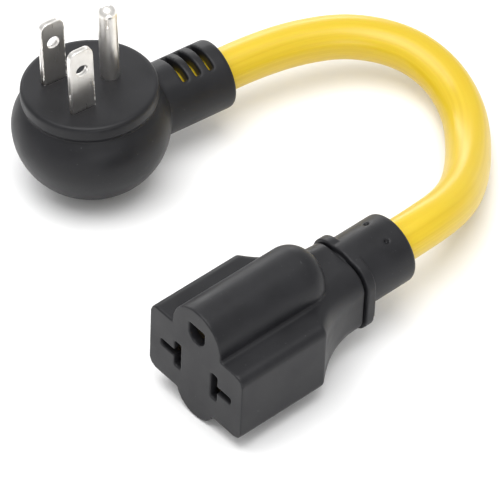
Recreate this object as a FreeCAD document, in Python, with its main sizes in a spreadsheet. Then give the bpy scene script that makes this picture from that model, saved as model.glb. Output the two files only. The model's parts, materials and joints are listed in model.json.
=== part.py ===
"""Power adapter dogbone: a right-angle plug and a straight connector on one short heavy cord.

Millimetres, +Z up.  The origin lies on the floor, under the middle of the plug and the connector.
+X runs from the connector's face towards its cord end, and the plug's pins point up.
"""
import FreeCAD, Part
import Sketcher
import math
import os
import re

V = FreeCAD.Vector
UP = V(0, 0, 1)

# Driving dimensions, one spreadsheet cell each.
DIMENSIONS = {
    # where the two ends stand
    "plug_x": -0.7,
    "plug_y": 38.65,
    "plug_yaw": -7.0,
    "connector_x": -36.4,
    "connector_y": -41.42,
    "connector_roll": 4.4,
    # plug moulding
    "face_z": 29.2,
    "face_radius": 16.7,
    "face_rim": 3.4,
    "waist_radius": 16.0,
    "waist_z": 24.6,
    "ridge_radius": 17.0,
    "ridge_z": 23.5,
    "belly_radius": 19.3,
    "belly_z": 17.0,
    "shoulder_radius": 10.33,
    "dome_radius": 17.65,
    "foot_radius": 6.4,
    "edge_round": 1.0,
    "neck_radius": 8.95,
    "neck_reach": 36.3,
    "slit_width": 1.5,
    "slit_setback": 4.9,
    "slit_pitch": 3.7,
    "slit_angle": 73.0,
    "slit_count": 3,
    # insulating block inside the plug
    "block_radius": 14.2,
    "block_floor": 9.0,
    "block_top": 27.2,
    # pins: NEMA 5-15 pattern
    "pin_offset": 5.95,
    "blade_y": 6.35,
    "blade_width": 6.35,
    "blade_thickness": 1.5,
    "blade_length": 18.0,
    "blade_root": 11.2,
    "blade_nose": 2.2,
    "leaf_gap": 0.2,
    "fold_depth": 1.6,
    "blade_hole_radius": 1.6,
    "blade_hole_height": 11.9,
    "pin_radius": 2.375,
    "pin_wall": 0.8,
    "pin_collar_radius": 2.8,
    "pin_length": 21.2,
    "pin_root": 14.4,
    "pin_seam": 0.4,
    "pin_seam_length": 2.6,
    "pin_seam_turn": -123.0,
    "crimp_radius": 1.9,
    "blade_crimp_start": -4.0,
    "blade_crimp_end": 5.0,
    "blade_crimp_back": 1.5,
    "pin_crimp_end": 15.5,
    # cord
    "cord_z": 14.4,
    "cord_radius": 5.65,
    "cord_bore": 4.4,
    "core_radius": 1.8,
    "copper_radius": 1.025,
    "bundle_radius": 2.08,
    "core_bend": 6.0,
    "strip_length": 1.0,
    "filler_radius": 0.85,
    "filler_offset": 3.15,
    "mouth_run": 10.0,
    "plug_core_spread": 8.0,
    "plug_core_gather": 18.0,
    "plug_jacket_start": 20.0,
    # connector moulding, heights from its slot line
    "slot_z": 15.0,
    "entry_z": 16.2,
    "wing_half": 16.0,
    "wing_low": 10.4,
    "wing_high": 9.8,
    "wing_round": 2.4,
    "arch_half": 8.3,
    "arch_top": 19.3,
    "arch_foot": 2.0,
    "arch_length": 35.0,
    "arch_round": 6.0,
    "lobe_half": 6.5,
    "lobe_length": 27.0,
    "lobe_round": 3.0,
    "grip_length": 25.4,
    "taper_mid": 33.0,
    "taper_mid_half": 11.2,
    "taper_mid_tall": 9.9,
    "taper_mid_drop": 1.6,
    "taper_mid_round": 5.0,
    "taper_end": 43.5,
    "taper_end_half": 9.2,
    "taper_end_tall": 9.8,
    "taper_end_drop": 2.0,
    "taper_end_round": 5.6,
    # sleeve at the connector's cord end
    "sleeve_gap": 0.5,
    "flange_half": 9.8,
    "flange_tall": 10.3,
    "flange_drop": 2.0,
    "flange_thickness": 2.5,
    "flange_round": 6.0,
    "sleeve_radius": 8.9,
    "sleeve_end": 60.2,
    "stem_radius": 7.4,
    "stem_start": 40.0,
    "dimple_radius": 0.6,
    "dimple_depth": 1.5,
    "dimple_setback": 5.3,
    "dimple_half": 3.5,
    # openings in the connector's face
    "slot_width": 2.2,
    "slot_half_height": 3.95,
    "bar_half_height": 1.05,
    "bar_reach": 12.2,
    "earth_rise": 11.9,
    "earth_half": 2.65,
    # contacts and what holds them
    "face_skin": 2.5,
    "carrier_half": 14.2,
    "carrier_low": 6.0,
    "carrier_high": 6.0,
    "carrier_arch_half": 6.2,
    "carrier_arch_top": 16.4,
    "carrier_back": 22.0,
    "cap_thickness": 2.0,
    "contact_front": 3.0,
    "contact_wall": 0.6,
    "contact_back": 0.8,
    "contact_end": 28.0,
    "contact_barrel_start": 21.5,
    "contact_bore_start": 23.0,
    "earth_bore": 2.45,
    "earth_tube_end": 16.0,
    "earth_strip_start": 12.0,
    "earth_strip_half": 1.2,
    "earth_crimp_rise": 5.3,
    "connector_core_spread": 30.5,
    "connector_core_gather": 40.0,
    "connector_jacket_end": 42.0,
}

# Corners of the free cord between the run out of the plug's neck and the run into the sleeve.
# It leaves level, sags until it lies on the floor half way round, and comes back up.
CORD_CORNERS = [
    V(57.6, 30, 14.0),
    V(69.6, 24.5, 12.8),
    V(78.1, 14.5, 10.8),
    V(80.1, 2.5, 8.6),
    V(77.1, -9, 5.7),
    V(69.1, -19.5, 5.7),
    V(58.4, -29.8, 8.4),
    V(47, -37.4, 12.4),
]
ARC_SHARE = 0.45

# Directions of the three cores and of the three fillers round the cord's middle line, in degrees.
FIRST_CORE_TURN = 30
FILLER_TURNS = (30, 150, 270)

# How far a cutting shape reaches past what it cuts.
PAST = 1.0
VOLUME_TOLERANCE = 0.005
NEARLY_ZERO = 1e-9

doc = FreeCAD.newDocument("power_adapter_dogbone")
sheet = doc.addObject("Spreadsheet::Sheet", "dims")
for row, (alias, number) in enumerate(DIMENSIONS.items(), start=1):
    sheet.set(f"A{row}", alias)
    sheet.set(f"B{row}", str(number))
    sheet.setAlias(f"B{row}", alias)
doc.recompute()


def value(text):
    """Number that a formula of sheet cells gives."""
    return float(sheet.evalExpression(text))


def formula(text):
    """The same formula as another object has to write it."""
    return re.sub(r"\b[a-z][a-z_]*\b(?!\()", lambda word: "dims." + word.group(0), text)


def bind(item, **sizes):
    """Bind an object's properties to formulas of sheet cells."""
    for name, text in sizes.items():
        item.setExpression(name, formula(text))


def place(item, x="0", y="0", z="0", axis=UP, turn="0"):
    """Bind an object's place, and its turn about an axis, to the sheet."""
    item.Placement = FreeCAD.Placement(V(), FreeCAD.Rotation(axis, value(turn)))
    for name, text in (("Base.x", x), ("Base.y", y), ("Base.z", z), ("Rotation.Angle", turn)):
        item.setExpression("Placement." + name, formula(text))
    return item


def place_plug(item):
    """Put an object drawn about the plug's own axis where the plug stands."""
    return place(item, x="plug_x", y="plug_y", turn="plug_yaw")


def place_connector(item):
    """Put an object drawn from the connector's face where it lies, rolled about the cord's line."""
    return place(item, x="connector_x", y="connector_y + entry_z * sin(connector_roll)",
                 z="entry_z - entry_z * cos(connector_roll)", axis=V(1, 0, 0), turn="connector_roll")


# ---- sketches and features -----------------------------------------------------------------

def new_body(label):
    body = doc.addObject("PartDesign::Body", label + "_body")
    body.Label = label
    return body


def new_sketch(body, name, plane, away="0", rise="0"):
    """Empty sketch on a plane parallel to one of the body's origin planes.

    away moves it along the plane's normal, and rise moves its own origin up.
    """
    sketch = body.newObject("Sketcher::SketchObject", body.Name + "_" + name)
    base = [item for item in body.Origin.OriginFeatures if item.Role == plane][0]
    sketch.AttachmentSupport = (base, "")
    sketch.MapMode = "FlatFace"
    sketch.setExpression("AttachmentOffset.Base.y", formula(rise))
    sketch.setExpression("AttachmentOffset.Base.z", formula(away))
    return sketch


def constrain(sketch, kind, edge, end, text):
    """Fix one coordinate of an edge's end to a formula."""
    number = value(text)
    if abs(number) < NEARLY_ZERO:
        axis = -2 if kind == "DistanceX" else -1
        sketch.addConstraint(Sketcher.Constraint("PointOnObject", edge, end, axis))
        return
    index = sketch.addConstraint(Sketcher.Constraint(kind, -1, 1, edge, end, number))
    sketch.setExpression(f"Constraints[{index}]", formula(text))


def outline(sketch, corners):
    """Closed outline.  A corner is (u, v), or (u, v, radius) if an arc leaves it.

    The arc's centre is on the left of the way from its corner to the next one.
    """
    points = [V(value(corner[0]), value(corner[1]), 0) for corner in corners]
    starts = []
    ends = []
    for index, corner in enumerate(corners):
        first = points[index]
        last = points[(index + 1) % len(points)]
        if len(corner) == 2:
            edge = sketch.addGeometry(Part.LineSegment(first, last), False)
        else:
            radius = value(corner[2])
            chord = last - first
            rise = math.sqrt(radius ** 2 - chord.Length ** 2 / 4)
            centre = (first + last) / 2 + V(-chord.y, chord.x, 0) / chord.Length * rise
            begin = math.atan2(first.y - centre.y, first.x - centre.x)
            finish = math.atan2(last.y - centre.y, last.x - centre.x)
            circle = Part.Circle(centre, UP, radius)
            edge = sketch.addGeometry(Part.ArcOfCircle(circle, begin, finish), False)
            index_of_radius = sketch.addConstraint(Sketcher.Constraint("Radius", edge, radius))
            sketch.setExpression(f"Constraints[{index_of_radius}]", formula(corner[2]))
        starts.append((edge, 1))
        ends.append((edge, 2))
    for index, corner in enumerate(corners):
        edge, end = starts[index]
        sketch.addConstraint(Sketcher.Constraint("Coincident", *ends[index - 1], edge, end))
        constrain(sketch, "DistanceX", edge, end, corner[0])
        constrain(sketch, "DistanceY", edge, end, corner[1])


def circle(sketch, u, v, radius):
    """Circle whose centre and radius are formulas."""
    size = value(radius)
    edge = sketch.addGeometry(Part.Circle(V(value(u), value(v), 0), UP, size), False)
    constrain(sketch, "DistanceX", edge, 3, u)
    constrain(sketch, "DistanceY", edge, 3, v)
    index = sketch.addConstraint(Sketcher.Constraint("Radius", edge, size))
    sketch.setExpression(f"Constraints[{index}]", formula(radius))


def box_corners(low_u, high_u, low_v, high_v):
    return [(low_u, low_v), (high_u, low_v), (high_u, high_v), (low_u, high_v)]


def rounded_box(half, low, high, radius):
    """Corners of a box about the vertical axis, with a quarter arc at each corner."""
    inner = f"({half} - {radius})"
    return [
        (f"-1 * {inner}", low),
        (inner, low, radius),
        (half, f"{low} + {radius}"),
        (half, f"{high} - {radius}", radius),
        (inner, high),
        (f"-1 * {inner}", high, radius),
        (f"-1 * {half}", f"{high} - {radius}"),
        (f"-1 * {half}", f"{low} + {radius}", radius),
    ]


def pad(body, name, sketch, length, symmetric=False, kind="Pad"):
    """Pad or Pocket of a sketch."""
    feature = body.newObject("PartDesign::" + kind, body.Name + "_" + name)
    feature.Profile = sketch
    feature.SideType = "Symmetric" if symmetric else "One side"
    bind(feature, Length=length)
    return feature


def revolve(body, name, sketch, axis, angle="360", kind="Revolution"):
    """Revolution or Groove of a sketch about one of its own axes."""
    feature = body.newObject("PartDesign::" + kind, body.Name + "_" + name)
    feature.Profile = sketch
    feature.ReferenceAxis = (sketch, [axis])
    feature.Midplane = True
    bind(feature, Angle=angle)
    return feature


def round_edges(body, name, base, radius, wanted):
    """Fillet the edges of a feature that a test picks."""
    doc.recompute()
    picked = [f"Edge{i}" for i, edge in enumerate(base.Shape.Edges, start=1) if wanted(edge)]
    feature = body.newObject("PartDesign::Fillet", body.Name + "_" + name)
    feature.Base = (base, picked)
    bind(feature, Radius=radius)
    return feature


def at_height(height, tolerance=0.01):
    """Test for edges that lie wholly at one height."""
    def test(edge):
        box = edge.BoundBox
        return abs(box.ZMin - height) < tolerance and abs(box.ZMax - height) < tolerance
    return test


def at_length(length, tolerance=0.01):
    """Test for edges that lie wholly at one distance along X."""
    def test(edge):
        box = edge.BoundBox
        return abs(box.XMin - length) < tolerance and abs(box.XMax - length) < tolerance
    return test


def slab(name, x, y, z):
    """Box between a low and a high formula along each axis."""
    item = doc.addObject("Part::Box", name)
    sizes = [f"{high} - ({low})" for low, high in (x, y, z)]
    bind(item, Length=sizes[0], Width=sizes[1], Height=sizes[2])
    return place(item, x=x[0], y=y[0], z=z[0])


def mirrored(side, low, high):
    """Low and high place on the given side, 1 or -1, of the middle plane."""
    if side == "1":
        return low, high
    return f"-1 * ({high})", f"-1 * ({low})"


def along_z(name, radius, x, z, length):
    item = doc.addObject("Part::Cylinder", name)
    bind(item, Radius=radius, Height=length)
    return place(item, x=x, z=z)


def along_x(name, radius, y, z, start, finish):
    item = doc.addObject("Part::Cylinder", name)
    bind(item, Radius=radius, Height=f"{finish} - ({start})")
    return place(item, x=start, y=y, z=z, axis=V(0, 1, 0), turn="90")


def join(name, items):
    joined = doc.addObject("Part::MultiFuse", name)
    joined.Shapes = items
    return joined


def group(name, items):
    """Objects held together, so that they can be placed as one."""
    held = doc.addObject("Part::Compound", name)
    held.Links = items
    return held


def cut(label, base, tools):
    """Node made of a base with the space of other objects taken out."""
    item = doc.addObject("Part::Cut", label)
    item.Label = label
    item.Base = base
    item.Tool = tools[0] if len(tools) == 1 else join(label + "_space", tools)
    return item


# ---- cord geometry --------------------------------------------------------------------------

def unit(vector):
    return vector / vector.Length


def corner_radii(points):
    """Radius of the arc at each inner corner, as large as its two runs allow."""
    radii = []
    for before, here, after in zip(points, points[1:], points[2:]):
        turn = (here - before).getAngle(after - here)
        shorter = min((here - before).Length, (after - here).Length)
        radii.append(ARC_SHARE * shorter / math.tan(turn / 2))
    return radii


def beside(points, radii, right, above):
    """Corners and radii of a line that keeps a steady distance from a route."""
    run = unit(points[1] - points[0])
    offset = run.cross(UP) * right + UP * above
    corners = [points[0] + offset]
    arcs = []
    for before, here, after, radius in zip(points, points[1:], points[2:], radii):
        first = unit(here - before)
        second = unit(after - here)
        hinge = unit(first.cross(second))
        inward_first = hinge.cross(first)
        inward_second = hinge.cross(second)
        inward = offset.dot(inward_first)
        along = offset.dot(hinge)
        spread = inward / (1 + inward_first.dot(inward_second))
        corners.append(here + hinge * along + (inward_first + inward_second) * spread)
        arcs.append(radius - inward)
        offset = hinge * along + inward_second * inward
    corners.append(points[-1] + offset)
    return corners, arcs


def rounded_wire(points, radii):
    """Straight runs joined by tangent arcs."""
    edges = []
    start = points[0]
    for before, here, after, radius in zip(points, points[1:], points[2:], radii):
        first = unit(here - before)
        second = unit(after - here)
        half = first.getAngle(second) / 2
        reach = radius * math.tan(half)
        begin = here - first * reach
        end = here + second * reach
        middle = here + unit(second - first) * (radius / math.cos(half) - radius)
        edges.append(Part.LineSegment(start, begin).toShape())
        edges.append(Part.Arc(begin, middle, end).toShape())
        start = end
    edges.append(Part.LineSegment(start, points[-1]).toShape())
    return Part.Wire(edges)


def swept(wire, direction, outer, inner=0):
    """Rod, or tube if it has an inner radius, along a wire."""
    start = wire.Vertexes[0].Point
    rims = [Part.Wire(Part.makeCircle(outer, start, direction))]
    if inner:
        rims.append(Part.Wire(Part.makeCircle(inner, start, direction)))
    face = Part.makeFace(rims, "Part::FaceMakerBullseye")
    solid = wire.makePipe(face)
    expected = face.Area * wire.Length
    if abs(solid.Volume - expected) > VOLUME_TOLERANCE * expected:
        raise ValueError(f"swept volume {solid.Volume:.1f}, expected {expected:.1f}")
    return solid


def shape_node(label, shape):
    """Node whose shape comes straight from the sheet's numbers."""
    item = doc.addObject("Part::Feature", label)
    item.Label = label
    item.Shape = shape
    item.Placement = FreeCAD.Placement()
    return item


def plug_point(x, y, z):
    """Point given in the plug's own frame, in the part's frame."""
    turn = FreeCAD.Rotation(UP, value("plug_yaw"))
    return turn.multVec(V(x, y, z)) + V(value("plug_x"), value("plug_y"), 0)


def connector_point(x, y, z):
    """Point given in the connector's own frame, in the part's frame."""
    roll = FreeCAD.Rotation(V(1, 0, 0), value("connector_roll"))
    hub = V(0, 0, value("entry_z"))
    return roll.multVec(V(x, y, z) - hub) + hub + V(value("connector_x"), value("connector_y"), 0)


def cord_route(plug_start, connector_end):
    """Corners of the cord's middle line, from inside the plug to inside the connector."""
    leaves = plug_point(value("neck_reach + mouth_run"), 0, value("cord_z"))
    enters = connector_point(value("sleeve_end + mouth_run"), 0, value("entry_z"))
    first = plug_point(plug_start, 0, value("cord_z"))
    last = connector_point(connector_end, 0, value("entry_z"))
    return [first, leaves] + CORD_CORNERS + [enters, last]


def route_radii():
    """Arc radii of the free cord, whose end runs count only from mouth to first corner."""
    return corner_radii(cord_route(value("neck_reach"), value("sleeve_end")))


def core_path(right, above, plug_crimp, connector_crimp):
    """Path of one core: out of its crimp, gathered into the bundle, and spread again."""
    points = cord_route(value("plug_core_gather"), value("connector_core_gather"))
    corners, radii = beside(points, route_radii(), right, above)
    bend = value("core_bend")
    if right:
        spread = plug_point(value("plug_core_spread"), plug_crimp[1], plug_crimp[2])
        corners = [plug_point(*plug_crimp), spread] + corners
        radii = [bend, bend] + radii
    else:
        corners[0] = plug_point(*plug_crimp)
    turned_out = V(value("connector_core_spread"), connector_crimp[1], connector_crimp[2])
    corners = corners + [connector_point(*turned_out), connector_point(*connector_crimp)]
    radii = radii + [bend, bend]
    return corners, radii


# ---- plug -----------------------------------------------------------------------------------

def make_blade(label, side):
    """Folded brass blade with its crimp barrel, drawn in the plug's frame."""
    body = new_body(label)
    middle = f"{side} * blade_y"
    top = "face_z + blade_length"
    near = "-1 * pin_offset + blade_width / 2"
    far = "-1 * pin_offset - blade_width / 2"
    # The plane's own +Z runs towards -Y, so the sketch stands at minus the blade's place.
    sheet_side = new_sketch(body, "leaf", "XZ_Plane", f"-1 * {middle}")
    outline(sheet_side, [
        (far, "blade_root"),
        (near, "blade_root"),
        (near, f"{top} - blade_nose"),
        ("-1 * pin_offset + blade_width / 2 - blade_nose", top),
        ("-1 * pin_offset - blade_width / 2 + blade_nose", top),
        (far, f"{top} - blade_nose"),
    ])
    pad(body, "leaf_pad", sheet_side, "blade_thickness", symmetric=True)
    between = new_sketch(body, "gap", "YZ_Plane", f"{far} - {PAST}")
    outline(between, box_corners(
        f"{middle} - leaf_gap / 2", f"{middle} + leaf_gap / 2", "face_z", f"{top} - fold_depth"))
    gap = pad(body, "gap_cut", between, f"blade_width + {2 * PAST}", kind="Pocket")
    gap.Reversed = True
    through = new_sketch(body, "hole", "XZ_Plane", f"-1 * {middle}")
    circle(through, "-1 * pin_offset", "face_z + blade_hole_height", "blade_hole_radius")
    pad(body, "hole_cut", through, f"blade_thickness + {2 * PAST}", symmetric=True, kind="Pocket")
    barrel = new_sketch(body, "barrel", "YZ_Plane", "blade_crimp_start")
    circle(barrel, middle, "cord_z - bundle_radius / 2", "crimp_radius")
    pad(body, "barrel_pad", barrel, "blade_crimp_end - blade_crimp_start")
    bore = new_sketch(body, "bore", "YZ_Plane", "blade_crimp_end")
    circle(bore, middle, "cord_z - bundle_radius / 2", "copper_radius")
    bore_length = "blade_crimp_end - blade_crimp_start - blade_crimp_back"
    pad(body, "bore_cut", bore, bore_length, kind="Pocket")
    doc.recompute()
    return place_plug(body)


def make_ground_pin():
    """Rolled ground pin: a tube with a domed tip, a short slit below it and a crimp barrel.

    A collar inside the plug, flush with its face, is wider than the shaft.
    """
    shoulder = "face_z + pin_length - pin_radius"
    shaft = along_z("pin_shaft", "pin_radius", "pin_offset", "face_z", f"{shoulder} - face_z")
    collar = along_z("pin_collar", "pin_collar_radius", "pin_offset", "pin_root", "face_z - pin_root")
    bore = along_z("pin_bore", "pin_radius - pin_wall", "pin_offset", "pin_root",
                   f"{shoulder} - pin_root")
    dome = doc.addObject("Part::Sphere", "pin_dome")
    bind(dome, Radius="pin_radius")
    place(dome, x="pin_offset", z=shoulder)
    slit = slab(
        "pin_slit",
        ("0", f"pin_radius + {PAST}"),
        ("-1 * pin_seam / 2", "pin_seam / 2"),
        (f"{shoulder} - pin_seam_length", shoulder))
    seam = place(group("pin_seam_space", [slit]), x="pin_offset", turn="pin_seam_turn")
    level = "cord_z + bundle_radius"
    barrel_start = "pin_offset + pin_collar_radius / 2"
    barrel = along_x("pin_barrel", "crimp_radius", "0", level, barrel_start, "pin_crimp_end")
    crimp = along_x("pin_barrel_bore", "copper_radius", "0", level,
                    "pin_offset + pin_radius", "pin_crimp_end")
    pin = cut("plug_ground_pin", join("pin_metal", [shaft, collar, dome, barrel]), [bore, seam, crimp])
    return place_plug(pin)


def make_plug_moulding():
    """Outside of the plug: a round body, its waist under the face, and the slotted neck."""
    body = new_body("plug_moulding")
    profile = new_sketch(body, "profile", "XZ_Plane")
    outline(profile, [
        ("0", "0"),
        ("foot_radius", "0", "dome_radius"),
        ("belly_radius", "belly_z", "shoulder_radius"),
        ("ridge_radius", "ridge_z"),
        ("waist_radius", "waist_z"),
        ("face_radius", "face_z - face_rim"),
        ("face_radius", "face_z"),
        ("0", "face_z"),
    ])
    rounded = revolve(body, "round", profile, "V_Axis")
    round_edges(body, "face_edge", rounded, "edge_round", at_height(value("face_z")))
    mouth = new_sketch(body, "neck", "YZ_Plane")
    circle(mouth, "0", "cord_z", "neck_radius")
    neck = pad(body, "neck_pad", mouth, "neck_reach")
    round_edges(body, "neck_edge", neck, "edge_round", at_length(value("neck_reach")))
    innermost = "neck_reach - slit_setback - slit_pitch * (slit_count - 1)"
    for name, side in (("top", "1"), ("under", "-1")):
        slit = new_sketch(body, "slit_" + name, "XZ_Plane", rise="cord_z")
        low, high = f"{side} * cord_radius", f"{side} * (neck_radius + {PAST})"
        corners = box_corners(f"{innermost} - slit_width / 2", f"{innermost} + slit_width / 2", low, high)
        outline(slit, corners)
        groove = revolve(body, "groove_" + name, slit, "H_Axis", "slit_angle", "Groove")
        repeat = body.newObject("PartDesign::LinearPattern", body.Name + "_slits_" + name)
        repeat.Originals = [groove]
        repeat.Direction = (slit, ["H_Axis"])
        bind(repeat, Length="slit_pitch * (slit_count - 1)", Occurrences="slit_count")
        body.Tip = repeat
    return place_plug(body)


def make_plug(cores, core_spaces):
    """Plug: its moulding and inner block, each cut to fit what it holds."""
    blades = [make_blade("plug_line_blade", "-1"), make_blade("plug_neutral_blade", "1")]
    pin = make_ground_pin()
    collar_space = along_z("pin_collar_space", "pin_collar_radius", "pin_offset", "pin_root", "face_z")
    barrel_space = along_x("pin_barrel_space", "crimp_radius", "0", "cord_z + bundle_radius",
                           "pin_offset", "pin_crimp_end")
    pin_space = place_plug(join("pin_space", [collar_space, barrel_space]))
    held = blades + [pin_space] + cores + core_spaces
    drum = along_z("plug_drum", "block_radius", "0", "block_floor", "block_top - block_floor")
    block = place_plug(group("plug_block", [drum]))
    inner = cut("plug_inner_block", block, held)
    jacket_rod = along_x("plug_jacket_rod", "cord_radius", "0", "cord_z",
                         "plug_jacket_start", "neck_reach + mouth_run / 2")
    jacket_space = place_plug(group("plug_jacket_space", [jacket_rod]))
    outer = cut("plug_body", make_plug_moulding(), [block, jacket_space] + held)
    return blades + [pin, inner, outer]


# ---- connector ------------------------------------------------------------------------------

def tee(name, side, grow, start, finish):
    """T-shaped bar about one slot, from one length to another, larger all round by grow."""
    upright = slab(
        name + "_upright",
        (start, finish),
        mirrored(side, f"blade_y - slot_width / 2 - {grow}", f"blade_y + slot_width / 2 + {grow}"),
        (f"slot_z - slot_half_height - {grow}", f"slot_z + slot_half_height + {grow}"))
    bar = slab(
        name + "_bar",
        (start, finish),
        mirrored(side, "blade_y", f"bar_reach + {grow}"),
        (f"slot_z - bar_half_height - {grow}", f"slot_z + bar_half_height + {grow}"))
    return join(name, [upright, bar])


def make_contact(label, side):
    """Contact folded from strip: a T-shaped socket with a closed back and a crimp barrel."""
    outside = tee(label + "_outside", side, "contact_wall", "contact_front", "carrier_back")
    inside = tee(label + "_inside", side, "0", "contact_front", "carrier_back - contact_back")
    barrel = along_x(label + "_barrel", "crimp_radius", f"{side} * blade_y", "slot_z",
                     "contact_barrel_start", "contact_end")
    bore = along_x(label + "_bore", "copper_radius", f"{side} * blade_y", "slot_z",
                   "contact_bore_start", "contact_end")
    metal = join(label + "_metal", [outside, barrel])
    return place_connector(cut(label, metal, [inside, bore]))


def make_ground_contact():
    """Round ground contact, with a strip down to a crimp barrel below it."""
    middle = "slot_z + earth_rise"
    level = "slot_z + earth_crimp_rise"
    tube = along_x("earth_tube", "earth_bore + contact_wall", "0", middle,
                   "contact_front", "earth_tube_end")
    hollow = along_x("earth_hollow", "earth_bore", "0", middle, "contact_front", "earth_tube_end")
    strip = slab(
        "earth_strip",
        ("earth_strip_start", "carrier_back"),
        ("-1 * earth_strip_half", "earth_strip_half"),
        (level, f"{middle} - earth_bore"))
    barrel = along_x("earth_barrel", "crimp_radius", "0", level,
                     "contact_barrel_start", "contact_end")
    bore = along_x("earth_barrel_bore", "copper_radius", "0", level,
                   "contact_bore_start", "contact_end")
    contact = cut("ground_contact", join("earth_metal", [tube, strip, barrel]), [hollow, bore])
    return place_connector(contact)


def carrier_outline(name, start, finish):
    """Solid with the carrier's outline: a wide block and a round-topped one that stands on it."""
    spring = "slot_z + carrier_arch_top - carrier_arch_half"
    wide = slab(name + "_wide", (start, finish), ("-1 * carrier_half", "carrier_half"),
                ("slot_z - carrier_low", "slot_z + carrier_high"))
    narrow = slab(name + "_narrow", (start, finish), ("-1 * carrier_arch_half", "carrier_arch_half"),
                  ("slot_z", spring))
    crown = along_x(name + "_crown", "carrier_arch_half", "0", spring, start, finish)
    return place_connector(join(name, [wide, narrow, crown]))


def earth_opening():
    """D-shaped hole: round towards the slots and flat away from them."""
    middle = "slot_z + earth_rise"
    start = str(-PAST)
    rounded = along_x("earth_round", "earth_half", "0", middle, start, "face_skin")
    flat = slab("earth_flat", (start, "face_skin"), ("-1 * earth_half", "earth_half"),
                (middle, f"{middle} + earth_half"))
    return join("earth_opening", [rounded, flat])


def make_connector_moulding():
    """Outside of the connector: wings, arch and lobe round the openings, tapering to the cord."""
    body = new_body("connector_moulding")
    crown = "slot_z + arch_top"
    spring = f"{crown} - arch_half"
    lobe = new_sketch(body, "lobe", "YZ_Plane")
    outline(lobe, [
        ("-1 * lobe_half", "lobe_half", "lobe_half"),
        ("0", "0", "lobe_half"),
        ("lobe_half", "lobe_half"),
        ("lobe_half", "slot_z"),
        ("-1 * lobe_half", "slot_z"),
    ])
    lobe_pad = pad(body, "lobe_pad", lobe, "lobe_length")
    round_edges(body, "lobe_back", lobe_pad, "lobe_round", at_length(value("lobe_length")))
    arch = new_sketch(body, "arch", "YZ_Plane")
    outline(arch, [
        ("-1 * arch_half", "slot_z - arch_foot"),
        ("arch_half", "slot_z - arch_foot"),
        ("arch_half", spring, "arch_half"),
        ("0", crown, "arch_half"),
        ("-1 * arch_half", spring),
    ])
    arch_pad = pad(body, "arch_pad", arch, "arch_length")
    round_edges(body, "arch_back", arch_pad, "arch_round", at_length(value("arch_length")))
    wings = new_sketch(body, "wings", "YZ_Plane")
    wing_box = rounded_box("wing_half", "(slot_z - wing_low)", "(slot_z + wing_high)", "wing_round")
    outline(wings, wing_box)
    pad(body, "wings_pad", wings, "grip_length")
    sections = [new_sketch(body, "taper_root", "YZ_Plane", "grip_length")]
    outline(sections[0], wing_box)
    for name in ("taper_mid", "taper_end"):
        section = new_sketch(body, name, "YZ_Plane", name)
        middle = f"entry_z - {name}_drop"
        low, high = f"({middle} - {name}_tall)", f"({middle} + {name}_tall)"
        outline(section, rounded_box(name + "_half", low, high, name + "_round"))
        sections.append(section)
    taper = body.newObject("PartDesign::AdditiveLoft", body.Name + "_taper")
    taper.Profile = sections[0]
    taper.Sections = sections[1:]
    return place_connector(body)


def make_sleeve():
    """Flange and sleeve round the cord, with a stem that the connector's moulding grips."""
    body = new_body("connector_sleeve")
    flange_start = "taper_end + sleeve_gap"
    stem = new_sketch(body, "stem", "YZ_Plane", "stem_start")
    circle(stem, "0", "entry_z", "stem_radius")
    pad(body, "stem_pad", stem, f"{flange_start} - stem_start")
    flange = new_sketch(body, "flange", "YZ_Plane", flange_start)
    low, high = "(entry_z - flange_drop - flange_tall)", "(entry_z - flange_drop + flange_tall)"
    outline(flange, rounded_box("flange_half", low, high, "flange_round"))
    pad(body, "flange_pad", flange, "flange_thickness")
    sleeve = new_sketch(body, "sleeve", "YZ_Plane", flange_start)
    circle(sleeve, "0", "entry_z", "sleeve_radius")
    sleeve_pad = pad(body, "sleeve_pad", sleeve, f"sleeve_end - ({flange_start})")
    round_edges(body, "sleeve_edge", sleeve_pad, "edge_round", at_length(value("sleeve_end")))
    bore = new_sketch(body, "bore", "YZ_Plane", "sleeve_end")
    circle(bore, "0", "entry_z", "cord_radius")
    pad(body, "bore_cut", bore, "sleeve_end - stem_start", kind="Pocket")
    dimples = new_sketch(body, "dimples", "XY_Plane", "entry_z + sleeve_radius")
    for side in ("1", "-1"):
        circle(dimples, "sleeve_end - dimple_setback", f"{side} * dimple_half", "dimple_radius")
    pad(body, "dimples_cut", dimples, "dimple_depth", kind="Pocket")
    return place_connector(body)


def make_connector(cores, core_spaces):
    """Connector: contacts in their carrier and cap, the moulding round them, and the sleeve.

    The carrier's front holds the openings and is the middle of the connector's face.
    """
    contacts = [make_contact("line_contact", "1"), make_contact("neutral_contact", "-1")]
    contacts.append(make_ground_contact())
    sleeve = make_sleeve()
    earth_space = along_x("earth_space", "earth_bore + contact_wall", "0", "slot_z + earth_rise",
                          "face_skin", "carrier_back")
    cavities = [earth_space]
    openings = [earth_opening()]
    for name, side in (("line", "1"), ("neutral", "-1")):
        cavities.append(tee(name + "_cavity", side, "contact_wall", "face_skin", "carrier_back"))
        openings.append(tee(name + "_opening", side, "0", str(-PAST), "face_skin"))
    cavity = place_connector(join("carrier_cavities", cavities + openings))
    carrier_block = carrier_outline("carrier_block", "0", "carrier_back")
    cap_block = carrier_outline("cap_block", "carrier_back", "carrier_back + cap_thickness")
    carrier = cut("contact_carrier", carrier_block, [cavity] + contacts)
    cap = cut("carrier_cap", cap_block, contacts + cores)
    stem_rod = along_x("stem_rod", "stem_radius", "0", "entry_z", "stem_start", f"taper_end + {PAST}")
    stem_space = place_connector(group("stem_space", [stem_rod]))
    around = [carrier_block, cap_block, stem_space] + contacts + cores + core_spaces
    outer = cut("connector_body", make_connector_moulding(), around)
    return contacts + [carrier, cap, outer, sleeve]


# ---- cord -----------------------------------------------------------------------------------

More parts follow.
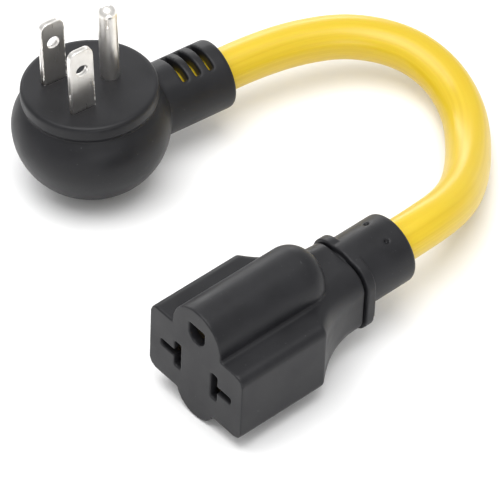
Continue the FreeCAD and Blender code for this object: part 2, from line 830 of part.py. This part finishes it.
def make_cord():
    """Jacket, three insulated cores and the fillers between them."""
    radii = route_radii()
    points = cord_route(value("plug_jacket_start"), value("connector_jacket_end"))
    run = unit(points[1] - points[0])
    jacket = shape_node("cord_jacket", swept(
        rounded_wire(points, radii), run, value("cord_radius"), value("cord_bore")))
    strands = []
    for degrees in FILLER_TURNS:
        right = value("filler_offset") * math.cos(math.radians(degrees))
        above = value("filler_offset") * math.sin(math.radians(degrees))
        strands.append(swept(rounded_wire(*beside(points, radii, right, above)), run,
                             value("filler_radius")))
    fillers = shape_node("cord_fillers", Part.makeCompound(strands))
    sideways = value("bundle_radius") * math.cos(math.radians(FIRST_CORE_TURN))
    low = value("cord_z - bundle_radius / 2")
    high = value("cord_z + bundle_radius")
    strip = value("strip_length")
    blade_ends = (value("blade_crimp_start + blade_crimp_back"), value("blade_crimp_end") + strip)
    pin_ends = (value("pin_offset + pin_radius"), value("pin_crimp_end") + strip)
    far_ends = (value("contact_bore_start"), value("contact_end") + strip)
    side = value("blade_y")
    level = value("slot_z")
    raised = value("slot_z + earth_crimp_rise")
    plans = (
        ("line", sideways, -value("bundle_radius") / 2, blade_ends, (-side, low), (side, level)),
        ("neutral", -sideways, -value("bundle_radius") / 2, blade_ends, (side, low), (-side, level)),
        ("ground", 0, value("bundle_radius"), pin_ends, (0, high), (0, raised)),
    )
    nodes = [jacket, fillers]
    copper = []
    spaces = []
    for name, right, above, near, plug_side, far_side in plans:
        wires = []
        for start, finish in zip(near, far_ends):
            wires.append(rounded_wire(*core_path(
                right, above, (start, *plug_side), (finish, *far_side))))
        rod = swept(wires[0], run, value("copper_radius"))
        sleeve = swept(wires[1], run, value("core_radius"), value("copper_radius"))
        copper.append(shape_node(name + "_conductor", rod))
        nodes.append(shape_node(name + "_insulation", sleeve))
        spaces.append(shape_node(name + "_core_space", swept(wires[1], run, value("core_radius"))))
    return nodes, copper, spaces


def check_document():
    """Stop if anything in the document failed to compute."""
    for item in doc.Objects:
        if "Invalid" in item.State or "Error" in item.State:
            raise ValueError(f"{item.Label}: {item.State}")


def export(nodes):
    """Write one STEP file per node, after testing every shape."""
    for node in nodes:
        if node.Shape.isNull() or not node.Shape.isValid() or not node.Shape.Solids:
            raise ValueError(f"{node.Label}: bad shape")
    os.makedirs("parts", exist_ok=True)
    for node in nodes:
        node.Shape.exportStep(f"parts/{node.Label}.step")
        print(f"{node.Label:22s} solids {len(node.Shape.Solids)}  volume {node.Shape.Volume:9.1f}")


cord_nodes, copper_nodes, core_spaces = make_cord()
plug_nodes = make_plug(copper_nodes, core_spaces)
connector_nodes = make_connector(copper_nodes, core_spaces)
doc.recompute()
check_document()
free_route = cord_route(value("neck_reach"), value("sleeve_end"))
print("bend radii", [round(radius, 1) for radius in route_radii()])
print("free cord", round(rounded_wire(free_route, route_radii()).Length, 1), "mm")
export(cord_nodes + copper_nodes + plug_nodes + connector_nodes)
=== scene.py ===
"""Looks of the power adapter dogbone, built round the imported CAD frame.  Metres, +Z up."""
import bmesh
import bpy
import json
import math
from mathutils import Matrix, Quaternion, Vector, noise


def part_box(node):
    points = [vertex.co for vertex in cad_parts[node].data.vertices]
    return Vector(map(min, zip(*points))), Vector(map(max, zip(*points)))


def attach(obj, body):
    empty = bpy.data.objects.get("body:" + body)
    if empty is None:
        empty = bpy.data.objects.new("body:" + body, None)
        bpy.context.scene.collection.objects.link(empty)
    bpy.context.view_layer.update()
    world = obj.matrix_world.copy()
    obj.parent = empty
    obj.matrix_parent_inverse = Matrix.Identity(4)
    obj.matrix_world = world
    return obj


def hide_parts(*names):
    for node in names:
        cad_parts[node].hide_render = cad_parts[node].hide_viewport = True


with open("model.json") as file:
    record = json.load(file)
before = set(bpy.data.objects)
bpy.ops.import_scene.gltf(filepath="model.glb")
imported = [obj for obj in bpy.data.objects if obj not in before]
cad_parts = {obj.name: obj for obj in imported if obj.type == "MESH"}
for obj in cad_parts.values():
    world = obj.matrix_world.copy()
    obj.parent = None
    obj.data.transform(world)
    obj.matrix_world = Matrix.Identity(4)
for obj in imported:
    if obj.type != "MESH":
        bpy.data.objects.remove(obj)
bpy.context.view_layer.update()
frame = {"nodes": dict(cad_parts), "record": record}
cad_nodes = frame["nodes"]
mounts = {mount["name"]: Vector(mount["pos_m"]) for mount in frame["record"]["mounts"]}
MM = 0.001

# The plug's frame stands on its face, and the connector's on the middle of its slots.
blade_pitch = mounts["neutral_blade"] - mounts["line_blade"]
PLUG_TURN = Matrix.Rotation(math.atan2(-blade_pitch.x, blade_pitch.y), 4, "Z")
FACE_Z = mounts["plug_face"].z
slot_pitch = mounts["line_slot"] - mounts["neutral_slot"]
slot_middle = (mounts["line_slot"] + mounts["neutral_slot"]) / 2
ROLL_TURN = Matrix.Rotation(math.atan2(slot_pitch.z, slot_pitch.y), 4, "X")
CONNECTOR = Matrix.Translation(slot_middle) @ ROLL_TURN

# ---- camera ---------------------------------------------------------------------------------
AZIMUTH, ELEVATION, ROLL = math.radians(-40), math.radians(43), math.radians(-1.5)
DISTANCE = 1.1905
AIM = Vector((0.0111, -0.0053, 0.0012))
LENS_MM, SENSOR_MM = 360, 36


def make_camera():
    """Camera that looks at AIM from the given angle."""
    back = Vector((math.sin(AZIMUTH) * math.cos(ELEVATION),
                   -math.cos(AZIMUTH) * math.cos(ELEVATION),
                   math.sin(ELEVATION)))
    camera = bpy.data.objects.new("camera", bpy.data.cameras.new("camera"))
    camera.data.lens = LENS_MM
    camera.data.sensor_width = SENSOR_MM
    camera.data.clip_start = 0.05
    camera.data.clip_end = 20
    camera.rotation_mode = "QUATERNION"
    camera.rotation_quaternion = (-back).to_track_quat("-Z", "Y") @ Quaternion((0, 0, 1), ROLL)
    camera.location = AIM + back * DISTANCE
    bpy.context.scene.collection.objects.link(camera)
    bpy.context.scene.camera = camera


# ---- meshes ---------------------------------------------------------------------------------
LINE_STEPS, LINE_ORDER = 20, 3
ROD_SIDES = 16


def new_piece(name, mesh, material):
    """Object of a mesh that rides on the part's one body."""
    mesh.materials.append(material)
    piece = bpy.data.objects.new(name, mesh)
    bpy.context.scene.collection.objects.link(piece)
    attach(piece, "root")
    return piece


def line_of(points):
    """Points along the smooth NURBS line that has the given points as its control points."""
    curve = bpy.data.curves.new("route", "CURVE")
    curve.dimensions = "3D"
    curve.resolution_u = LINE_STEPS
    spline = curve.splines.new("NURBS")
    spline.points.add(len(points) - 1)
    for point, place in zip(spline.points, points):
        point.co = (*place, 1)
    spline.order_u = LINE_ORDER
    spline.use_endpoint_u = True
    holder = bpy.data.objects.new("route", curve)
    mesh = bpy.data.meshes.new_from_object(holder)
    line = [vertex.co.copy() for vertex in mesh.vertices]
    bpy.data.objects.remove(holder)
    bpy.data.meshes.remove(mesh)
    bpy.data.curves.remove(curve)
    return line


def tube(name, line, sides, radius_at):
    """Mesh tube along a line.  It also stores how far along and how far round each point is."""
    mesh = bpy.data.meshes.new(name)
    shape = bmesh.new()
    along_layer = shape.verts.layers.float.new("along")
    round_layer = shape.verts.layers.float.new("round")
    side = Vector((0, 0, 1))
    along = 0
    rings = []
    for index, here in enumerate(line):
        before = line[max(index - 1, 0)]
        after = line[min(index + 1, len(line) - 1)]
        forward = (after - before).normalized()
        side = (side - forward * side.dot(forward)).normalized()
        across = forward.cross(side)
        along += (here - before).length
        ring = []
        for step in range(sides):
            turn = 2 * math.pi * step / sides
            out = side * math.cos(turn) + across * math.sin(turn)
            vertex = shape.verts.new(here + out * radius_at(along, turn))
            vertex[along_layer] = along
            vertex[round_layer] = math.cos(turn)
            ring.append(vertex)
        rings.append(ring)
    for ring, following in zip(rings, rings[1:]):
        for step in range(sides):
            turn_on = (step + 1) % sides
            face = shape.faces.new((ring[step], ring[turn_on], following[turn_on], following[step]))
            face.smooth = True
    shape.faces.new(reversed(rings[0]))
    shape.faces.new(rings[-1])
    bmesh.ops.recalc_face_normals(shape, faces=shape.faces)
    shape.to_mesh(mesh)
    shape.free()
    return mesh


def softened(name, mesh, stand, voxel, rounds):
    """Mesh of fused solids with a new fine skin, whose edges are eased as a moulding's are.

    stand is the matrix of the frame that the solids are square to.
    """
    mesh.transform(stand.inverted())
    holder = bpy.data.objects.new(name, mesh)
    bpy.context.scene.collection.objects.link(holder)
    skin = holder.modifiers.new("skin", "REMESH")
    skin.mode = "VOXEL"
    skin.voxel_size = voxel
    ease = holder.modifiers.new("ease", "SMOOTH")
    ease.factor = 0.5
    ease.iterations = rounds
    ready = holder.evaluated_get(bpy.context.evaluated_depsgraph_get())
    result = bpy.data.meshes.new_from_object(ready)
    bpy.data.objects.remove(holder)
    bpy.data.meshes.remove(mesh)
    result.materials.clear()
    result.transform(stand)
    result.shade_smooth()
    return result


def solids_of(name, node_names):
    """One mesh that holds copies of CAD nodes."""
    shape = bmesh.new()
    for node_name in node_names:
        shape.from_mesh(cad_nodes[node_name].data)
    mesh = bpy.data.meshes.new(name)
    shape.to_mesh(mesh)
    shape.free()
    return mesh


def add_rod(mesh, start, end, radius):
    """Add a round rod to a mesh that is about to be fused."""
    shape = bmesh.new()
    shape.from_mesh(mesh)
    run = end - start
    turn = run.to_track_quat("Z", "Y").to_matrix().to_4x4()
    bmesh.ops.create_cone(shape, cap_ends=True, segments=ROD_SIDES, radius1=radius, radius2=radius,
                          depth=run.length, matrix=Matrix.Translation((start + end) / 2) @ turn)
    shape.to_mesh(mesh)
    shape.free()


# ---- materials ------------------------------------------------------------------------------
# Sockets of a Mix node that mixes colours, which share their names with those for other kinds.
MIX_FACTOR, MIX_FIRST, MIX_SECOND, MIX_RESULT = 0, 6, 7, 2
DRAW_STRETCH = (1, 1, 0.06)
DUST = (0.09, 0.09, 0.093, 1)


class Nodes:
    """Small helper that adds nodes to one material and links them."""

    def __init__(self, name):
        self.material = bpy.data.materials.new(name)
        self.material.use_nodes = True
        self.tree = self.material.node_tree
        self.shader = self.tree.nodes["Principled BSDF"]

    def add(self, kind, **values):
        node = self.tree.nodes.new("ShaderNode" + kind)
        for key, value in values.items():
            if key in node.inputs:
                node.inputs[key].default_value = value
            else:
                setattr(node, key, value)
        return node

    def link(self, source, target):
        self.tree.links.new(source, target)

    def set(self, **values):
        for key, value in values.items():
            self.shader.inputs[key.replace("_", " ")].default_value = value

    def place(self, stretch=(1, 1, 1)):
        """Object coordinates, stretched."""
        source = self.add("TexCoord").outputs["Object"]
        mapping = self.add("Mapping")
        mapping.inputs["Scale"].default_value = stretch
        self.link(source, mapping.inputs["Vector"])
        return mapping.outputs["Vector"]

    def grain(self, where, scale, detail=4.0, roughness=0.55):
        texture = self.add("TexNoise", Scale=scale, Detail=detail, Roughness=roughness)
        self.link(where, texture.inputs["Vector"])
        return texture.outputs["Fac"]

    def ramp(self, source, low, high, start=0.3, finish=0.7):
        node = self.add("ValToRGB")
        node.color_ramp.elements[0].position = start
        node.color_ramp.elements[0].color = (*low, 1)
        node.color_ramp.elements[1].position = finish
        node.color_ramp.elements[1].color = (*high, 1)
        self.link(source, node.inputs["Fac"])
        return node.outputs["Color"]

    def range(self, source, low, high, start=0.3, finish=0.7):
        node = self.add("MapRange")
        for key, value in (("From Min", start), ("From Max", finish), ("To Min", low), ("To Max", high)):
            node.inputs[key].default_value = value
        self.link(source, node.inputs["Value"])
        return node.outputs["Result"]

    def bump(self, height, strength, distance, after=None):
        node = self.add("Bump", Strength=strength, Distance=distance)
        self.link(height, node.inputs["Height"])
        if after is not None:
            self.link(after, node.inputs["Normal"])
        return node.outputs["Normal"]


def moulded(name, low, high, rough_low, rough_high):
    """Satin moulded plastic: cloudy sheen, a fine spark texture and a few pale dust specks."""
    n = Nodes(name)
    where = n.place()
    cloud = n.grain(where, 110, 3)
    fine = n.grain(where, 5200, 2)
    dust = n.grain(where, 1500, 1)
    base = n.ramp(cloud, low, high)
    speck = n.add("Mix", data_type="RGBA")
    n.link(n.range(dust, 0, 0.35, 0.74, 0.82), speck.inputs[MIX_FACTOR])
    n.link(base, speck.inputs[MIX_FIRST])
    speck.inputs[MIX_SECOND].default_value = DUST
    n.link(speck.outputs[MIX_RESULT], n.shader.inputs["Base Color"])
    n.link(n.range(cloud, rough_low, rough_high), n.shader.inputs["Roughness"])
    n.link(n.bump(fine, 0.35, 0.00003), n.shader.inputs["Normal"])
    n.set(Specular_IOR_Level=0.24)
    return n.material


def jacket_plastic():
    """Glossy yellow PVC with faint lengthwise flow lines."""
    n = Nodes("yellow_jacket")
    along = n.add("Attribute", attribute_name="along").outputs["Fac"]
    turn = n.add("Attribute", attribute_name="round").outputs["Fac"]
    joined = n.add("CombineXYZ")
    n.link(turn, joined.inputs["X"])
    n.link(along, joined.inputs["Y"])
    flow = n.grain(joined.outputs["Vector"], 9, 3)
    where = n.place()
    fine = n.grain(where, 2600, 2)
    cloud = n.grain(where, 60, 3)
    base = n.ramp(flow, (0.565, 0.385, 0.004), (0.645, 0.46, 0.014))
    n.link(base, n.shader.inputs["Base Color"])
    n.link(n.range(cloud, 0.32, 0.42), n.shader.inputs["Roughness"])
    first = n.bump(flow, 0.12, 0.0002)
    n.link(n.bump(fine, 0.12, 0.00003, first), n.shader.inputs["Normal"])
    n.set(Coat_Weight=0.10, Coat_Roughness=0.2, Subsurface_Weight=0.08, Subsurface_Scale=0.002)
    return n.material


def metal(name, low, high, rough_low, rough_high):
    """Plated or bare sheet metal, with fine upright draw marks."""
    n = Nodes(name)
    where = n.place(DRAW_STRETCH)
    marks = n.grain(where, 2600, 3, 0.6)
    cloud = n.grain(n.place(), 260, 3)
    n.link(n.ramp(cloud, low, high), n.shader.inputs["Base Color"])
    n.link(n.range(marks, rough_low, rough_high), n.shader.inputs["Roughness"])
    n.link(n.bump(marks, 0.05, 0.000008), n.shader.inputs["Normal"])
    n.set(Metallic=1.0)
    return n.material


black = moulded("black_moulding", (0.0105, 0.0105, 0.012), (0.0145, 0.0145, 0.0165), 0.36, 0.50)
inner_black = moulded("inner_plastic", (0.018, 0.018, 0.020), (0.026, 0.026, 0.028), 0.55, 0.68)
yellow = jacket_plastic()
nickel = metal("nickel_plate", (0.80, 0.775, 0.735), (0.90, 0.88, 0.85), 0.27, 0.34)
brass = metal("contact_brass", (0.72, 0.55, 0.27), (0.80, 0.64, 0.36), 0.25, 0.40)

FINISHES = {
    "carrier_cap": (inner_black, "inner_plastic"),
    "plug_inner_block": (inner_black, "inner_plastic"),
    "line_contact": (brass, "contact_brass"),
    "neutral_contact": (brass, "contact_brass"),
    "ground_contact": (brass, "contact_brass"),
}

make_camera()

# ---- cord -----------------------------------------------------------------------------------
CORD_DIAMETER = 0.0113
CORD_ROUTE = [
    (0.01915, 0.03621, 0.0144),
    (0.03265, 0.03456, 0.0144),
    (0.04526, 0.03301, 0.0144),
    (0.0576, 0.0300, 0.0140),
    (0.0696, 0.0245, 0.0128),
    (0.0781, 0.0145, 0.0108),
    (0.0801, 0.0025, 0.0086),
    (0.0771, -0.0090, 0.0057),
    (0.0691, -0.0195, 0.0057),
    (0.0584, -0.0298, 0.0084),
    (0.0470, -0.0374, 0.0124),
    (0.0338, -0.04142, 0.0162),
    (0.0204, -0.04142, 0.0162),
    (0.0056, -0.04142, 0.0162),
]
LOBE_COUNT, LOBE_PITCH, LOBE_RISE = 3, 0.105, 0.00011
UNEVEN_SCALE, UNEVEN_RISE = 70, 0.00005
JACKET_SIDES = 72


def jacket_radius(along, turn):
    """Radius of the jacket, on which the three twisted cores show as low lobes."""
    lobes = math.cos(LOBE_COUNT * turn - 2 * math.pi * along / LOBE_PITCH)
    where = Vector((along * UNEVEN_SCALE, math.cos(turn), math.sin(turn)))
    uneven = noise.noise(where) * UNEVEN_RISE
    return CORD_DIAMETER / 2 - LOBE_RISE + LOBE_RISE * lobes + uneven


cord_line = line_of(CORD_ROUTE)
jacket_mesh = tube("cord_jacket_piece", cord_line, JACKET_SIDES, jacket_radius)
jacket = new_piece("cord_jacket_piece", jacket_mesh, yellow)
CORD_NODES = ["cord_jacket", "cord_fillers"]
for core in ("line", "neutral", "ground"):
    CORD_NODES += [core + "_conductor", core + "_insulation"]
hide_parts(*CORD_NODES)

# ---- mouldings ------------------------------------------------------------------------------
VOXEL = 0.28 * MM
PLUG_ROUNDS, CONNECTOR_ROUNDS, SLEEVE_ROUNDS = 14, 5, 3
COLLAR_RADIUS, COLLAR_DEPTH = 2.9 * MM, 2 * MM
BEAD_RADIUS = 0.36 * MM
CREASE_SIDE, CREASE_RISE = 8.3 * MM, 9.8 * MM
CREASE_START, CREASE_END = 0.5 * MM, 27 * MM

plug_solids = solids_of("plug_solids", ["plug_body"])
# The CAD's hole round the pin is wider than the pin, so the moulding is filled in up to it.
pin_foot = Vector((mounts["ground_pin"].x, mounts["ground_pin"].y, FACE_Z))
add_rod(plug_solids, pin_foot - Vector((0, 0, COLLAR_DEPTH)), pin_foot, COLLAR_RADIUS)
plug_mesh = softened("plug_moulding_piece", plug_solids, PLUG_TURN, VOXEL, PLUG_ROUNDS)
plug_moulding = new_piece("plug_moulding_piece", plug_mesh, black)
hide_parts("plug_body")

connector_solids = solids_of("connector_solids", ["connector_body", "contact_carrier"])
for side in (-1, 1):
    bead_start = CONNECTOR @ Vector((CREASE_START, side * CREASE_SIDE, CREASE_RISE))
    bead_end = CONNECTOR @ Vector((CREASE_END, side * CREASE_SIDE, CREASE_RISE))
    add_rod(connector_solids, bead_start, bead_end, BEAD_RADIUS)
connector_mesh = softened("connector_moulding_piece", connector_solids, CONNECTOR, VOXEL,
                          CONNECTOR_ROUNDS)
connector_moulding = new_piece("connector_moulding_piece", connector_mesh, black)
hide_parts("connector_body", "contact_carrier")

sleeve_mesh = softened("sleeve_piece", solids_of("sleeve_solids", ["connector_sleeve"]),
                       CONNECTOR, VOXEL, SLEEVE_ROUNDS)
sleeve = new_piece("sleeve_piece", sleeve_mesh, black)
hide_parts("connector_sleeve")

# ---- pins -----------------------------------------------------------------------------------
BLADE_WIDTH, BLADE_LENGTH, BLADE_HALF = 6.35 * MM, 18.0 * MM, 0.75 * MM
TIP_ROUND, HOLE_RADIUS, HOLE_RISE = 1.9 * MM, 1.6 * MM, 11.9 * MM
FOLD_DEPTH, FOLD_OVERLAP, GAP_AT_FACE = 1.6 * MM, 0.05 * MM, 0.22 * MM
ROOT_DEPTH, ROOT_CUT = 1.0 * MM, 0.5 * MM
EDGE_BEVEL, SUPPORT = 0.17 * MM, 0.3 * MM
SIDE_STEP, TIP_STEPS = 0.4 * MM, 8
WELD = 0.001 * MM
BLADE_CREASE, PIN_CREASE = math.radians(35), math.radians(50)
PIN_RADIUS, PIN_TOP = 2.375 * MM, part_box("plug_ground_pin")[1][2]
PIN_FOOT, PIN_SIDES, PIN_STEPS, DOME_STEPS = 4 * MM, 160, 120, 24
SEAM_TURN, SEAM_LENGTH = math.radians(-123), 2.6 * MM
SEAM_HALF, SEAM_EASE, SEAM_DEPTH = 0.26 * MM, 0.12 * MM, 0.6 * MM


def blade_outline(inset):
    """Outline of one leaf in its own plane, drawn in by inset, with a rounded tip."""
    half = BLADE_WIDTH / 2
    spring = BLADE_LENGTH - TIP_ROUND
    radius = TIP_ROUND - inset
    foot = inset - ROOT_DEPTH
    steps = round((spring + ROOT_DEPTH) / SIDE_STEP)
    rise = [foot + (spring - foot) * step / steps for step in range(steps)]
    points = [(half - inset, height) for height in rise]
    for side, first in ((1, 0), (-1, 90)):
        for step in range(TIP_STEPS + 1):
            turn = math.radians(first + 90 * step / TIP_STEPS)
            points.append((side * (half - TIP_ROUND) + radius * math.cos(turn),
                           spring + radius * math.sin(turn)))
    points += [(inset - half, height) for height in reversed(rise)]
    return points


def leaf_inside(height):
    """How far a leaf's inner side stands from the blade's middle plane."""
    fold = BLADE_LENGTH - FOLD_DEPTH
    if height >= fold:
        return -FOLD_OVERLAP
    return GAP_AT_FACE * (fold - max(height, 0)) / fold


def add_leaf(shape, stand, side):
    """One leaf of a folded blade: a plate with a hole.

    The bevel divides the outer edges through the plate's thickness but leaves them sharp, and
    some of its strips have no area.
    """

    def corner(across, height, depth):
        return shape.verts.new(stand @ Vector((across, side * depth, height)))

    def hole_ring(radius, inside):
        ring = []
        for across, height in blade_outline(0):
            turn = math.atan2(height - HOLE_RISE, across)
            height = HOLE_RISE + radius * math.sin(turn)
            depth = leaf_inside(height) if inside else BLADE_HALF
            ring.append(corner(radius * math.cos(turn), height, depth))
        return ring

    rim = [corner(*point, BLADE_HALF) for point in blade_outline(0)]
    hole = hole_ring(HOLE_RADIUS, False)
    loops = [
        rim,
        [corner(*point, BLADE_HALF) for point in blade_outline(SUPPORT)],
        hole_ring(HOLE_RADIUS + SUPPORT, False),
        hole,
        hole_ring(HOLE_RADIUS, True),
        [corner(*point, leaf_inside(point[1])) for point in blade_outline(0)],
    ]
    count = len(rim)
    for first, second in zip(loops, loops[1:] + loops[:1]):
        for index in range(count):
            following = (index + 1) % count
            shape.faces.new((first[index], first[following], second[following], second[index]))
    outside = [shape.edges.get((ring[index - 1], ring[index]))
               for ring in (rim, hole) for index in range(count)]
    bmesh.ops.bevel(shape, geom=outside, offset=EDGE_BEVEL, segments=3, profile=0.5,
                    affect="EDGES", clamp_overlap=True)


def blade_piece(name, node_name, mount):
    """Folded blade above the face, on the CAD's own root and crimp barrel below it."""
    stand = Matrix.Translation((mounts[mount].x, mounts[mount].y, FACE_Z)) @ PLUG_TURN
    root = bmesh.new()
    root.from_mesh(cad_nodes[node_name].data)
    bmesh.ops.remove_doubles(root, verts=root.verts, dist=WELD)
    everything = root.verts[:] + root.edges[:] + root.faces[:]
    cut = bmesh.ops.bisect_plane(root, geom=everything, plane_co=(0, 0, FACE_Z - ROOT_CUT),
                                 plane_no=(0, 0, 1), clear_outer=True)
    rim = [item for item in cut["geom_cut"] if isinstance(item, bmesh.types.BMEdge)]
    bmesh.ops.edgenet_fill(root, edges=rim)
    for side in (-1, 1):
        add_leaf(root, stand, side)
    bmesh.ops.recalc_face_normals(root, faces=root.faces)
    mesh = bpy.data.meshes.new(name)
    root.to_mesh(mesh)
    root.free()
    mesh.materials.clear()
    mesh.shade_smooth()
    mesh.set_sharp_from_angle(angle=BLADE_CREASE)
    piece = new_piece(name, mesh, nickel)
    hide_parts(node_name)


def pin_profile():
    """Radius and height of the ground pin's outside above the face, up to its domed tip."""
    shoulder = PIN_TOP - PIN_RADIUS
    points = [(0, FACE_Z - PIN_FOOT), (PIN_RADIUS, FACE_Z - PIN_FOOT)]
    points += [(PIN_RADIUS, FACE_Z + (shoulder - FACE_Z) * step / PIN_STEPS)
               for step in range(PIN_STEPS + 1)]
    points += [(PIN_RADIUS * math.cos(turn), shoulder + PIN_RADIUS * math.sin(turn))
               for turn in (math.radians(90 * step / DOME_STEPS) for step in range(1, DOME_STEPS))]
    return points + [(0, PIN_TOP)]


def pin_piece():
    """Rolled ground pin, with the short open seam below its tip."""
    middle = mounts["ground_pin"]
    shoulder = PIN_TOP - PIN_RADIUS
    facing = PLUG_TURN @ Matrix.Rotation(SEAM_TURN, 4, "Z")
    shape = bmesh.new()
    rings = []
    for radius, height in pin_profile():
        if radius == 0:
            rings.append([shape.verts.new((middle.x, middle.y, height))])
            continue
        ring = []
        for step in range(PIN_SIDES):
            turn = 2 * math.pi * step / PIN_SIDES
            away = abs(math.remainder(turn, 2 * math.pi)) * radius
            end = min(height - (shoulder - SEAM_LENGTH), shoulder - height)
            sunk = SEAM_DEPTH * max(0, min(1, (SEAM_HALF - away) / SEAM_EASE, end / SEAM_EASE))
            out = facing @ Vector(((radius - sunk) * math.cos(turn), radius * math.sin(turn), 0))
            ring.append(shape.verts.new((middle.x + out.x, middle.y + out.y, height)))
        rings.append(ring)
    for lower, upper in zip(rings, rings[1:]):
        for step in range(PIN_SIDES):
            following = (step + 1) % PIN_SIDES
            if len(lower) == 1:
                shape.faces.new((lower[0], upper[following], upper[step]))
            elif len(upper) == 1:
                shape.faces.new((lower[step], lower[following], upper[0]))
            else:
                shape.faces.new((lower[step], lower[following], upper[following], upper[step]))
    bmesh.ops.recalc_face_normals(shape, faces=shape.faces)
    mesh = bpy.data.meshes.new("ground_pin_piece")
    shape.to_mesh(mesh)
    shape.free()
    mesh.shade_smooth()
    mesh.set_sharp_from_angle(angle=PIN_CREASE)
    piece = new_piece("ground_pin_piece", mesh, nickel)
    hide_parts("plug_ground_pin")


pin_piece()
blade_piece("line_blade_piece", "plug_line_blade", "line_blade")
blade_piece("neutral_blade_piece", "plug_neutral_blade", "neutral_blade")

for name, (material, slot) in FINISHES.items():
    node = cad_nodes[name]
    node.data.materials.clear()
    node.data.materials.append(material)

# ---- stage ----------------------------------------------------------------------------------

FLOOR_HALF, FLOOR_Z = 3.0, -0.0002


def make_stage():
    """Plain pale floor, just under the part."""
    corners = [(x * FLOOR_HALF, y * FLOOR_HALF, 0) for x, y in ((-1, -1), (1, -1), (1, 1), (-1, 1))]
    mesh = bpy.data.meshes.new("floor")
    mesh.from_pydata(corners, [], [(0, 1, 2, 3)])
    n = Nodes("floor_paper")
    base = n.ramp(n.grain(n.place(), 40, 3), (0.90, 0.90, 0.90), (0.93, 0.93, 0.93))
    n.link(base, n.shader.inputs["Base Color"])
    n.set(Roughness=0.9)
    mesh.materials.append(n.material)
    floor = bpy.data.objects.new("floor", mesh)
    floor.location.z = FLOOR_Z
    bpy.context.scene.collection.objects.link(floor)


def softbox(name, place, target, width, height, power):
    """Rectangular light that faces a target."""
    light = bpy.data.lights.new(name, "AREA")
    light.shape = "RECTANGLE"
    light.size = width
    light.size_y = height
    light.energy = power
    lamp = bpy.data.objects.new(name, light)
    lamp.location = place
    lamp.rotation_mode = "QUATERNION"
    lamp.rotation_quaternion = (Vector(target) - Vector(place)).to_track_quat("-Z", "Y")
    bpy.context.scene.collection.objects.link(lamp)


make_stage()
HORIZON_GLOW, ZENITH_GLOW = 0.62, 0.82


def make_sky():
    """White sky that is dimmer at the horizon than overhead."""
    world = bpy.data.worlds.new("studio")
    world.use_nodes = True
    tree = world.node_tree
    background = tree.nodes["Background"]
    background.inputs["Color"].default_value = (1, 1, 1, 1)
    direction = tree.nodes.new("ShaderNodeTexCoord").outputs["Generated"]
    parts = tree.nodes.new("ShaderNodeSeparateXYZ")
    fade = tree.nodes.new("ShaderNodeMapRange")
    fade.inputs["From Min"].default_value = 0
    fade.inputs["From Max"].default_value = 1
    fade.inputs["To Min"].default_value = HORIZON_GLOW
    fade.inputs["To Max"].default_value = ZENITH_GLOW
    tree.links.new(direction, parts.inputs["Vector"])
    tree.links.new(parts.outputs["Z"], fade.inputs["Value"])
    tree.links.new(fade.outputs["Result"], background.inputs["Strength"])
    bpy.context.scene.world = world


make_sky()
bpy.context.scene.view_settings.view_transform = "Standard"
softbox("overhead", (-0.12, -0.05, 0.95), (0, 0, 0), 0.9, 0.7, 8.5)
softbox("rear_strip", (0.42, 0.78, 0.28), (0, 0, 0.02), 0.8, 0.16, 2.6)
softbox("front", (-0.35, -0.80, 0.20), (0.02, -0.03, 0.01), 0.6, 0.2, 1.6)
